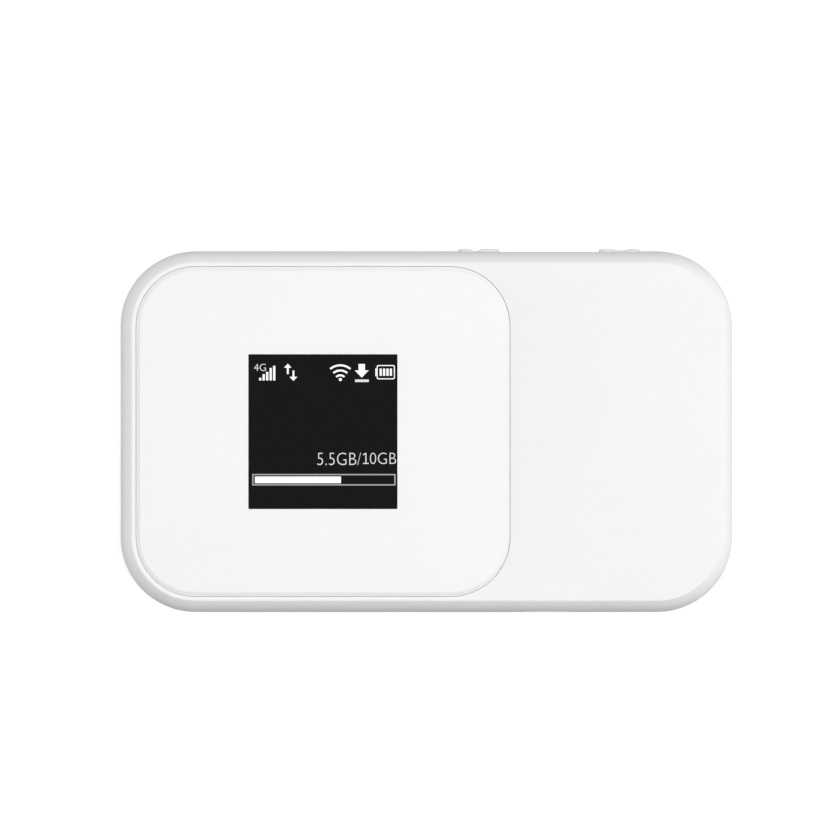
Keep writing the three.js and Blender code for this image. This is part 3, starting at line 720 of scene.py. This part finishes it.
front_wall = 1.4 * MM
side_wall = 1.4 * MM
ceiling = face - front_wall
rim_width = 2.08 * MM
crease_slope = math.radians(39)  # at which the rim, an elliptic arc, leaves the flat face
rim_steps = 16
ease_length = 0.25 * MM  # over which the crease is rounded
ease_steps = 5
cavity_roll = 1.2 * MM
cavity_steps = 6
panel_low, panel_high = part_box("front_panel")
panel_x = (panel_low.x + panel_high.x) / 2
panel_length = panel_high.x - panel_low.x
panel_width = panel_high.y - panel_low.y
panel_radius = 10.4 * MM
panel_gap = 0.05 * MM
recess_ease = 0.14 * MM  # rounding of the recess's upper edge
recess_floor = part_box("panel_adhesive")[0].z
window_low, window_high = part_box("display_window")
window_length = window_high.x - window_low.x
window_width = window_high.y - window_low.y
opening_margin = 0.8 * MM
opening_radius = 0.3 * MM
screw_spots = [(sx * 46.0 * MM, sy * 24.05 * MM) for sx in (-1, 1) for sy in (-1, 1)]
boss_radius = 2.2 * MM
boss_bottom = 7.23 * MM
pilot_radius = 0.8 * MM
pilot_top = 11.4 * MM
weld = 0.4 * MM  # how far the rib and the bosses run into the face's wall
light_low, light_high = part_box("backlight_unit")

bm = bmesh.new()
rings = []
for i in range(cavity_steps + 1):
    turn = math.pi / 2 * i / cavity_steps
    inset = side_wall + cavity_roll * (1 - math.sin(turn))
    rings.append(shell_ring(bm, inset, ceiling - cavity_roll * (1 - math.cos(turn))))
rings.append(shell_ring(bm, side_wall, seam + edge_round))
rings.append(shell_ring(bm, side_wall, seam))
rings.append(shell_ring(bm, back_inset(seam) + edge_inset, seam))
side_levels = levels_between(seam + edge_round, girdle, 0.0, 6)
rings.extend(shell_ring(bm, back_inset(z), z) for z in side_levels)
# The rim's ellipse, from the widest level up, is the one that reaches the crease at its slope.
slope_share = math.tan(crease_slope) * rim_width / rim_height
crease_turn = math.acos(slope_share / (1 - slope_share))
rim_across = rim_width / (1 - math.cos(crease_turn))
rim_up = rim_height / math.sin(crease_turn)
rim_end = rim_width - 0.7 * ease_length  # where the rounding of the crease takes over
rim_turn = math.acos(1 - rim_end / rim_across)
for i in range(1, rim_steps + 1):
    turn = rim_turn * i / rim_steps
    inset = rim_across * (1 - math.cos(turn))
    rings.append(shell_ring(bm, inset, girdle + rim_up * math.sin(turn)))
for i in range(1, ease_steps + 1):
    across = ease_length * i / ease_steps
    drop = ease_length / 2 * math.tan(crease_slope) * (1 - i / ease_steps) ** 2
    rings.append(shell_ring(bm, rim_width - ease_length / 2 + across, face - drop))
loft(bm, rings)
front_shell = piece(bm, "front_housing_shell", shell_white)


def cylinder(x, y, radius, bottom, top, name="post", sides=32):
    post = bmesh.new()
    bmesh.ops.create_cone(
        post, cap_ends=True, segments=sides, radius1=radius, radius2=radius, depth=top - bottom
    )
    bmesh.ops.translate(post, vec=(x, y, (bottom + top) / 2), verts=post.verts)
    return piece(post, name, shell_white)


rib_gap = 0.2 * MM
rib_wall = 0.8 * MM
rib_depth = 2.4 * MM
rib_radius = 1 * MM
rib_inner_radius = 0.4 * MM
gate_half_length = 7 * MM  # the gate lets the display's ribbon out of the rib
gate_radius = 0.2 * MM
rib_x = (light_low.x - rib_gap, light_high.x + rib_gap)
rib_y = (light_low.y - rib_gap, light_high.y + rib_gap)
rib = block(
    (rib_x[0] - rib_wall, rib_x[1] + rib_wall), (rib_y[0] - rib_wall, rib_y[1] + rib_wall),
    (ceiling - rib_depth, ceiling + weld), rib_radius, "rib",
    hollow=(rib_x, rib_y, rib_inner_radius),
)
gate = block(
    (panel_x - gate_half_length, panel_x + gate_half_length),
    (rib_y[0] - 2 * rib_wall, rib_y[0] + rib_wall),
    (ceiling - rib_depth - past, ceiling), gate_radius, "gate",
)
work(rib, [gate], "DIFFERENCE")
bosses = [cylinder(x, y, boss_radius, boss_bottom, ceiling + weld) for x, y in screw_spots]
work(front_shell, [rib, *bosses], "UNION")

bm = bmesh.new()
recess_steps = [(0, recess_floor), (0, face - recess_ease)]
recess_steps += [
    (recess_ease * (1 - math.cos(t)), face - recess_ease * (1 - math.sin(t)))
    for t in (math.radians(a) for a in (22.5, 45, 67.5, 90))
]
recess_steps.append((recess_ease, face + past))
recess_rings = [
    ring(
        bm, panel_length + 2 * (panel_gap + out), panel_width + 2 * (panel_gap + out),
        panel_radius + panel_gap + out, level, panel_x,
    )
    for out, level in recess_steps
]
loft(bm, recess_rings)
recess = piece(bm, "recess", shell_white)
opening = block(
    (window_low.x - opening_margin, window_high.x + opening_margin),
    (window_low.y - opening_margin, window_high.y + opening_margin),
    (ceiling - past, face + past), opening_radius, "opening",
)
pilots = [
    cylinder(x, y, pilot_radius, boss_bottom - past, pilot_top, sides=24) for x, y in screw_spots
]

button_spots = {"power": 33.8 * MM, "pairing": 9.15 * MM}
button_size = (7.3 * MM, 2.6 * MM)
button_gap = 0.15 * MM
button_low, button_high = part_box("power_button")
button_z = (button_low.z + button_high.z) / 2
strip_depth = 0.14 * MM
strip_height = 4.6 * MM
strip_margin = 0.9 * MM
blunt = 0.05 * MM  # how much less than half its height a round end's radius is


def side_tool(length, height, radius, x, z, y0, y1):
    """A bar along Y that cuts an opening of this shape in a side wall."""
    bar = bmesh.new()
    loft(bar, [ring(bar, length, height, radius, y, x=x, y=-z, steps=12) for y in (y0, y1)])
    turn_to_side(bar)
    return piece(bar, "bar", shell_white)


strip_ends = (min(button_spots.values()), max(button_spots.values()))
strip = side_tool(
    strip_ends[1] - strip_ends[0] + button_size[0] + 2 * strip_margin, strip_height,
    strip_height / 2 - blunt, sum(strip_ends) / 2, button_z,
    half_width - strip_depth, half_width + 2 * past,
)
holes = [
    side_tool(
        button_size[0] + 2 * button_gap, button_size[1] + 2 * button_gap,
        button_size[1] / 2 + button_gap - blunt, x, button_z,
        half_width - side_wall - past, half_width + 2 * past,
    )
    for x in button_spots.values()
]
usb_low, usb_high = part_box("usb_socket")
usb_x = (usb_low.x + usb_high.x) / 2
usb_z = (usb_low.z + usb_high.z) / 2
usb_gap = 0.2 * MM
usb_radius = 0.5 * MM
usb_hole = side_tool(
    usb_high.x - usb_low.x + 2 * usb_gap, usb_high.z - usb_low.z + 2 * usb_gap, usb_radius,
    usb_x, usb_z, -half_width - 2 * past, -half_width + side_wall + past,
)
work(front_shell, [recess, opening, strip, *holes, usb_hole, *pilots], "DIFFERENCE")
fit(front_shell, "main_unit", "shell_white", "front_housing")

# ---------------------------------------------------------------- front panel
# A plate of glossy white acrylic over the left three fifths of the face, taped into its recess.
# Its edge has a small lip, then swells up to the flat top.

panel_edge = [  # inset and depth below the top, in millimetres
    (0.0, 0.38), (0.03, 0.33), (0.07, 0.305), (0.13, 0.29), (0.20, 0.262), (0.64, 0.036),
    (0.70, 0.012), (0.78, 0.0),
]
panel_ease = 0.05 * MM  # on its lower edge
window_gap = 0.05 * MM
window_radius = 0.1 * MM


def gloss_white(place):
    peel = noise(place, 700, 1.0)
    cloud = noise(place, 60, 2.0)
    return {
        "Base Color": colours(cloud, (0.80, 0.80, 0.80, 1), (0.82, 0.82, 0.82, 1)),
        "Roughness": 0.06 + 0.05 * cloud,
        "Normal": relief(peel, 0.0006 * MM),
        "Specular IOR Level": 0.4,
        "Coat Weight": 0.25,
        "Coat Roughness": 0.04,
    }


def tape_film(place):
    fibre = noise(place, 1800, 4.0, 0.7)
    return {
        "Base Color": colours(fibre, (0.60, 0.58, 0.52, 1), (0.70, 0.68, 0.62, 1)),
        "Roughness": 0.75 + 0.1 * fibre,
        "Normal": relief(fibre, 0.01 * MM),
    }


panel_gloss = finish("panel_gloss", gloss_white)


def panel_ring(bm, inset, level):
    """The panel's outline at a level."""
    length = panel_length - 2 * inset
    width = panel_width - 2 * inset
    return ring(bm, length, width, panel_radius - inset, level, panel_x, steps=24)


def window_tool(growth, bottom, top):
    """A block in the display's outline, larger by growth all round."""
    x = (window_low.x - growth, window_high.x + growth)
    y = (window_low.y - growth, window_high.y + growth)
    return block(x, y, (bottom, top), window_radius + growth, "pane")


bm = bmesh.new()
rings = [panel_ring(bm, panel_ease, panel_low.z), panel_ring(bm, 0, panel_low.z + panel_ease)]
rings.extend(panel_ring(bm, i * MM, panel_high.z - drop * MM) for i, drop in panel_edge)
loft(bm, rings)
panel = piece(bm, "front_panel_plate", panel_gloss, 40)
pane_hole = window_tool(window_gap, panel_low.z - past, panel_high.z + past)
work(panel, [pane_hole], "DIFFERENCE", 40)
fit(panel, "main_unit", "panel_gloss", "front_panel")

tape_finish = finish("tape", tape_film)
dress(tape_finish, "panel_adhesive")

# ---------------------------------------------------------------- display window
# A pane of smoked acrylic, flush in the panel's opening, over the small display. It looks black
# where nothing is lit behind it.

pane_edge = 0.03 * MM


def smoked_black(place):
    smear = noise(place, 240, 4.0, 0.6)
    return {
        "Base Color": colours(smear, (0.0028, 0.0028, 0.0029, 1), (0.0034, 0.0034, 0.0035, 1)),
        "Roughness": 0.03 + 0.02 * smear,
        "Specular IOR Level": 0.045,
    }


window_black = finish("window_black", smoked_black)
bm = bmesh.new()
pane_steps = [(0, window_low.z), (0, window_high.z - pane_edge), (pane_edge, window_high.z)]
pane_rings = [
    ring(
        bm, window_length - 2 * inset, window_width - 2 * inset, window_radius, level, panel_x,
        steps=4,
    )
    for inset, level in pane_steps
]
loft(bm, pane_rings)
pane = piece(bm, "display_pane", window_black)
fit(pane, "main_unit", "window_black", "display_window")

# ---------------------------------------------------------------- display readouts
# What the display shows: signal, traffic, wireless, download and battery signs in a row, and the
# data used, as a figure and as a bar. Each is a thin layer in the pane, lit from behind.

glow_bottom = window_high.z - 0.03 * MM
glow_top = window_high.z + 0.006 * MM


def lit_white(place):
    rows = place.new(
        "ShaderNodeTexWave", {"wave_type": "BANDS", "bands_direction": "Y"},
        {"Vector": place, "Scale": 4200, "Distortion": 0.0},
    )
    return {
        "Base Color": (0.02, 0.02, 0.02, 1),
        "Roughness": 0.2,
        "Emission Color": colours(rows, (0.93, 0.94, 0.95, 1), (1, 1, 1, 1)),
        "Emission Strength": 1.0,
    }


def lit_grey(place, level=0.29):
    dots = noise(place, 5000, 1.0)
    bright = level + 0.04
    return {
        "Base Color": (0.02, 0.02, 0.02, 1),
        "Roughness": 0.2,
        "Emission Color": colours(dots, (level, level, level, 1), (bright, bright, bright, 1)),
        "Emission Strength": 1.0,
    }


def lit_pale(place):
    return lit_grey(place, 0.66)


readout_white = finish("readout_white", lit_white)
readout_grey = finish("readout_grey", lit_grey)
readout_pale = finish("readout_pale", lit_pale)


def sign_x(across):
    """A place across the display, in millimetres from its left edge."""
    return window_low.x + across * MM


def sign_y(down):
    """A place down the display, in millimetres from its upper edge."""
    return window_high.y - down * MM


def raise_sign(bm):
    """Gives flat signs their thickness."""
    flat = list(bm.faces)
    grown = bmesh.ops.extrude_face_region(bm, geom=flat, use_keep_orig=True)["geom"]
    lifted = [g for g in grown if isinstance(g, bmesh.types.BMVert)]
    bmesh.ops.translate(bm, vec=(0, 0, glow_top - glow_bottom), verts=lifted)


def tile(bm, left, right, upper, lower, radius=0.03):
    """A flat tile with slightly rounded corners."""
    made = ring(
        bm, (right - left) * MM, (lower - upper) * MM, radius * MM, glow_bottom,
        sign_x((left + right) / 2), sign_y((upper + lower) / 2), steps=3,
    )
    bmesh.ops.contextual_create(bm, geom=made)


def outline_sign(bm, left, right, upper, lower, stroke, radius):
    """A flat rounded frame, a little sharper at its inner corners."""
    x = sign_x((left + right) / 2)
    y = sign_y((upper + lower) / 2)
    pair = [
        ring(bm, (right - left - 2 * i) * MM, (lower - upper - 2 * i) * MM,
             (radius - 0.6 * i) * MM, glow_bottom, x, y, steps=4)
        for i in (0, stroke)
    ]
    loft(bm, pair, open_ends=True)


def arrow_sign(bm, x, tip, base, tail, half_head, half_shaft):
    """A flat arrow that points up or down the display."""
    corners = [
        (0, tip), (half_head, base), (half_shaft, base), (half_shaft, tail),
        (-half_shaft, tail), (-half_shaft, base), (-half_head, base),
    ]
    points = [bm.verts.new((sign_x(x + dx), sign_y(y), glow_bottom)) for dx, y in corners]
    sides = [bm.edges.new(pair) for pair in zip(points, points[1:] + points[:1])]
    bmesh.ops.contextual_create(bm, geom=sides)


def arc_sign(bm, x, y, radius, stroke, half_angle):
    """A flat arc over a point."""
    centre = (sign_x(x), sign_y(y), glow_bottom)
    ends = [
        bm.verts.new((centre[0], centre[1] + (radius + side * stroke / 2) * MM, glow_bottom))
        for side in (-1, 1)
    ]
    edge = bm.edges.new(ends)
    bmesh.ops.rotate(
        bm, verts=ends, cent=centre, matrix=Matrix.Rotation(math.radians(-half_angle), 3, "Z")
    )
    bmesh.ops.spin(
        bm, geom=[edge, *ends], cent=centre, axis=(0, 0, 1), angle=math.radians(2 * half_angle),
        steps=18, use_merge=False, use_duplicate=False,
    )


def close_sign(bm, name, material):
    """Gives the signs in a bmesh their thickness and fits them in the pane."""
    raise_sign(bm)
    fit(piece(bm, name, material), "main_unit", "window_black")


# The signs' places and sizes are in millimetres, from the display's left and upper edges.
bar_tops = [4.06, 3.43, 3.03, 2.36, 1.98]
bar_foot = 4.52
bar_left = 1.82
bar_width = 0.39
bar_pitch = 0.61
bars = bmesh.new()
for i, bar_top in enumerate(bar_tops):
    left = bar_left + bar_pitch * i
    tile(bars, left, left + bar_width, bar_top, bar_foot)
close_sign(bars, "signal_readout", readout_white)

arrows = bmesh.new()
arrow_sign(arrows, 6.83, 1.60, 2.3, 3.40, 0.64, 0.16)
arrow_sign(arrows, 7.81, 4.60, 3.88, 2.80, 0.67, 0.16)
close_sign(arrows, "traffic_readout", readout_white)

wave_x = 15.99
wave_foot = 4.62
wave_stroke = 0.33
spot_radius = 0.28
spot_down = 4.36
waves = bmesh.new()
for wave_radius, half_turn in ((2.74, 40), (1.84, 41), (1.0, 45)):
    arc_sign(waves, wave_x, wave_foot, wave_radius, wave_stroke, half_turn)
spot = bmesh.ops.create_circle(waves, cap_ends=True, segments=20, radius=spot_radius * MM)["verts"]
bmesh.ops.translate(waves, vec=(sign_x(wave_x), sign_y(spot_down), glow_bottom), verts=spot)
close_sign(waves, "wlan_readout", readout_white)

download = bmesh.new()
arrow_sign(download, 19.72, 4.03, 2.77, 1.65, 1.21, 0.56)
close_sign(download, "download_readout", readout_white)
download_line = bmesh.new()
tile(download_line, 18.55, 20.96, 4.35, 4.80)
close_sign(download_line, "download_line_readout", readout_pale)

cell_left = 22.84
cell_width = 0.38
cell_pitch = 0.59
charge = bmesh.new()
outline_sign(charge, 22.33, 25.50, 1.84, 4.32, 0.17, 0.3)
tile(charge, 22.10, 22.30, 2.40, 3.76)
for i in range(4):
    left = cell_left + cell_pitch * i
    tile(charge, left, left + cell_width, 2.45, 3.71)
close_sign(charge, "charge_readout", readout_white)

used = bmesh.new()
outline_sign(used, 0.62, 25.62, 20.83, 22.84, 0.22, 0.1)
close_sign(used, "data_bar_outline", readout_grey)
used_fill = bmesh.new()
tile(used_fill, 1.09, 16.1, 21.27, 22.44)
close_sign(used_fill, "data_bar_fill", readout_white)


def figure_sign(words, name, left, right, upper, lower, weight):
    """A line of figures, set to fill the given space."""
    text = bpy.data.curves.new(name, "FONT")
    text.body = words
    text.size = 2 * MM
    text.offset = weight * MM
    text.resolution_u = 4
    holder = bpy.data.objects.new("holder", text)
    bpy.context.scene.collection.objects.link(holder)
    graph = bpy.context.evaluated_depsgraph_get()
    flat = bpy.data.meshes.new_from_object(holder.evaluated_get(graph))
    bpy.data.objects.remove(holder)
    bm = bmesh.new()
    bm.from_mesh(flat)
    bmesh.ops.remove_doubles(bm, verts=bm.verts, dist=1e-7)
    xs = [v.co.x for v in bm.verts]
    ys = [v.co.y for v in bm.verts]
    scale = ((right - left) * MM / (max(xs) - min(xs)), (lower - upper) * MM / (max(ys) - min(ys)))
    bmesh.ops.translate(bm, vec=(-min(xs), -min(ys), 0), verts=bm.verts)
    bmesh.ops.scale(bm, vec=(scale[0], scale[1], 1), verts=bm.verts)
    bmesh.ops.translate(bm, vec=(sign_x(left), sign_y(lower), glow_bottom), verts=bm.verts)
    close_sign(bm, name, readout_pale)


figure_weight = -0.035  # thins the figures' strokes
label_weight = -0.02
figure_sign("4G", "network_readout", 0.92, 3.02, 1.62, 2.88, label_weight)
figure_sign("5.5GB/", "data_used_readout", 11.99, 19.58, 17.12, 19.28, figure_weight)
figure_sign("0GB", "data_limit_readout", 21.15, 25.72, 17.12, 19.10, figure_weight)
ten = bmesh.new()
tile(ten, 20.35, 20.54, 17.16, 18.92, 0.01)
tile(ten, 19.94, 20.94, 18.90, 19.08, 0.01)
flag = [(20.37, 17.16), (20.37, 17.38), (19.94, 17.58), (19.94, 17.38)]
flag_points = [ten.verts.new((sign_x(x), sign_y(y), glow_bottom)) for x, y in flag]
flag_sides = [ten.edges.new(ends) for ends in zip(flag_points, flag_points[1:] + flag_points[:1])]
bmesh.ops.contextual_create(ten, geom=flag_sides)
close_sign(ten, "data_one_readout", readout_pale)

# ---------------------------------------------------------------- push buttons
# Two keys of the same white plastic, for power and for pairing. Each is a cap with a scooped
# front, a flange that keeps it behind the wall, and a post that works a small switch.

key_scoops = {  # middle from the key's own, half its length, and depth
    "power": (0.2 * MM, 1.8 * MM, 0.22 * MM),
    "pairing": (-0.5 * MM, 1.25 * MM, 0.36 * MM),
}
key_front = button_high.y
flange_thickness = 0.55 * MM
flange_gap = 0.03 * MM  # from the flange to the wall that holds it in
flange_front = half_width - side_wall - flange_gap
flange_back = flange_front - flange_thickness
flange_size = (button_size[0] + 1.4 * MM, button_size[1] + 1.1 * MM)
flange_radius = 0.3 * MM
post_size = (2 * MM, 1.2 * MM)
post_radius = 0.1 * MM
cap_radius = button_size[1] / 2 - blunt
scoop_reach = 0.43 * MM  # how far behind the front the scoop moves the surface
key_edge = [  # inset and depth behind the front, in millimetres
    (0.0, 0.42), (0.02, 0.30), (0.07, 0.19), (0.15, 0.10), (0.26, 0.04), (0.40, 0.008), (0.55, 0.0),
]


def key_white(place):
    grain = noise(place, 6000, 2.0)
    return {
        "Base Color": colours(grain, (0.79, 0.79, 0.79, 1), (0.81, 0.81, 0.81, 1)),
        "Roughness": 0.34 + 0.08 * grain,
        "Normal": relief(grain, 0.003 * MM),
    }


button_white = finish("button_white", key_white)


def key(kind):
    """One push button, lofted from the end of its post to its front."""
    x = button_spots[kind]
    bm = bmesh.new()
    steps = [
        (post_size, post_radius, button_low.y), (post_size, post_radius, flange_back),
        (flange_size, flange_radius, flange_back), (flange_size, flange_radius, flange_front),
        (button_size, cap_radius, flange_front),
    ]
    for inset, drop in key_edge:
        size = (button_size[0] - 2 * inset * MM, button_size[1] - 2 * inset * MM)
        steps.append((size, cap_radius - inset * MM, key_front - drop * MM))
    rings = [
        ring(bm, *size, radius, level, x, steps=8, cuts=28) for size, radius, level in steps
    ]
    loft(bm, rings)
    front = max(bm.faces, key=lambda f: (f.calc_center_median().z, f.calc_area()))
    bmesh.ops.triangulate(bm, faces=[front], ngon_method="BEAUTY")
    shift, reach, depth = key_scoops[kind]
    for vert in bm.verts:
        away = min(1.0, abs(vert.co.x - x - shift) / reach)
        if vert.co.z > key_front - scoop_reach:
            vert.co.z -= depth * (0.5 + 0.5 * math.cos(math.pi * away))
    turn_to_side(bm)
    bmesh.ops.translate(bm, vec=(0, 0, button_z), verts=bm.verts)
    made = piece(bm, f"{kind}_button_cap", button_white, 35)
    fit(made, f"{kind}_key", "button_white", f"{kind}_button")


key("power")
key("pairing")

# ---------------------------------------------------------------- studio
# A pale table under an even sky, with a large soft box overhead, one low at each side, and one
# high at the right and at the back. The camera looks straight down on the face.

table_reach = 3  # metres from the middle to the edge
view_middle = (-1.12 * MM, 2.03 * MM)
view_height = 146.5 * MM  # what the camera takes in at the face


def table_white(place):
    """The table looks white, whiter far off, but sends little light back up to the object."""
    seen = place.new("ShaderNodeLightPath", {}, {}, "Is Camera Ray")
    away = place.new("ShaderNodeVectorMath", {"operation": "LENGTH"}, {"Vector": place}, "Value")
    far = place.new(
        "ShaderNodeMapRange", {"interpolation_type": "SMOOTHSTEP"},
        {"Value": away, "From Min": 0.4, "From Max": 2.6}, "Result",
    )
    return {
        "Base Color": colours(seen, (0.45, 0.45, 0.45, 1), (0.95, 0.95, 0.95, 1)),
        "Roughness": 0.8,
        "Emission Color": colours(seen * (0.47 + 0.53 * far), (0, 0, 0, 1), (1, 1, 1, 1)),
        "Emission Strength": 0.85,
    }


bm = bmesh.new()
bmesh.ops.create_grid(bm, x_segments=4, y_segments=4, size=table_reach)
table = piece(bm, "table", finish("table_white", table_white))

world = bpy.data.worlds.new("sky")
bpy.context.scene.world = world
world.use_nodes = True
sky = Signal(world.node_tree)
seen = sky.new("ShaderNodeLightPath", {}, {}, "Is Camera Ray")
in_gloss = sky.new("ShaderNodeLightPath", {}, {}, "Is Glossy Ray")
glow = seen + 0.85 * in_gloss
world.node_tree.links.new(glow.socket, world.node_tree.nodes["Background"].inputs["Strength"])
world.node_tree.nodes["Background"].inputs["Color"].default_value = (1, 1, 1, 1)


def soft_box(name, place, size, power, mirrored=False):
    """A square light that faces the middle of the table, and shows in gloss only if mirrored."""
    lamp = bpy.data.lights.new(name, "AREA")
    lamp.size = size
    lamp.energy = power
    holder = bpy.data.objects.new(name, lamp)
    holder.location = place
    holder.rotation_mode = "QUATERNION"
    holder.rotation_quaternion = holder.location.to_track_quat("Z", "Y")
    holder.visible_camera = False
    holder.visible_glossy = mirrored
    bpy.context.scene.collection.objects.link(holder)


soft_box("box_over", (0.0, 0.0, 2.2), 2.4, 23.5, mirrored=True)
soft_box("box_right", (1.9, 0.0, 0.8), 1.4, 12.0)
soft_box("box_left", (-1.9, 0.0, 0.8), 1.4, 18.3)
soft_box("box_right_high", (1.4, 0.0, 1.5), 2.4, 28.8)
soft_box("box_back_high", (0.0, 1.4, 1.5), 2.4, 11.0)

lens = bpy.data.cameras.new("camera")
lens.sensor_width = 36
lens.lens = 300
lens.clip_end = 20
camera = bpy.data.objects.new("camera", lens)
camera.location = (*view_middle, face + view_height * lens.lens / lens.sensor_width)
bpy.context.scene.collection.objects.link(camera)
bpy.context.scene.camera = camera
bpy.context.scene.view_settings.view_transform = "Standard"
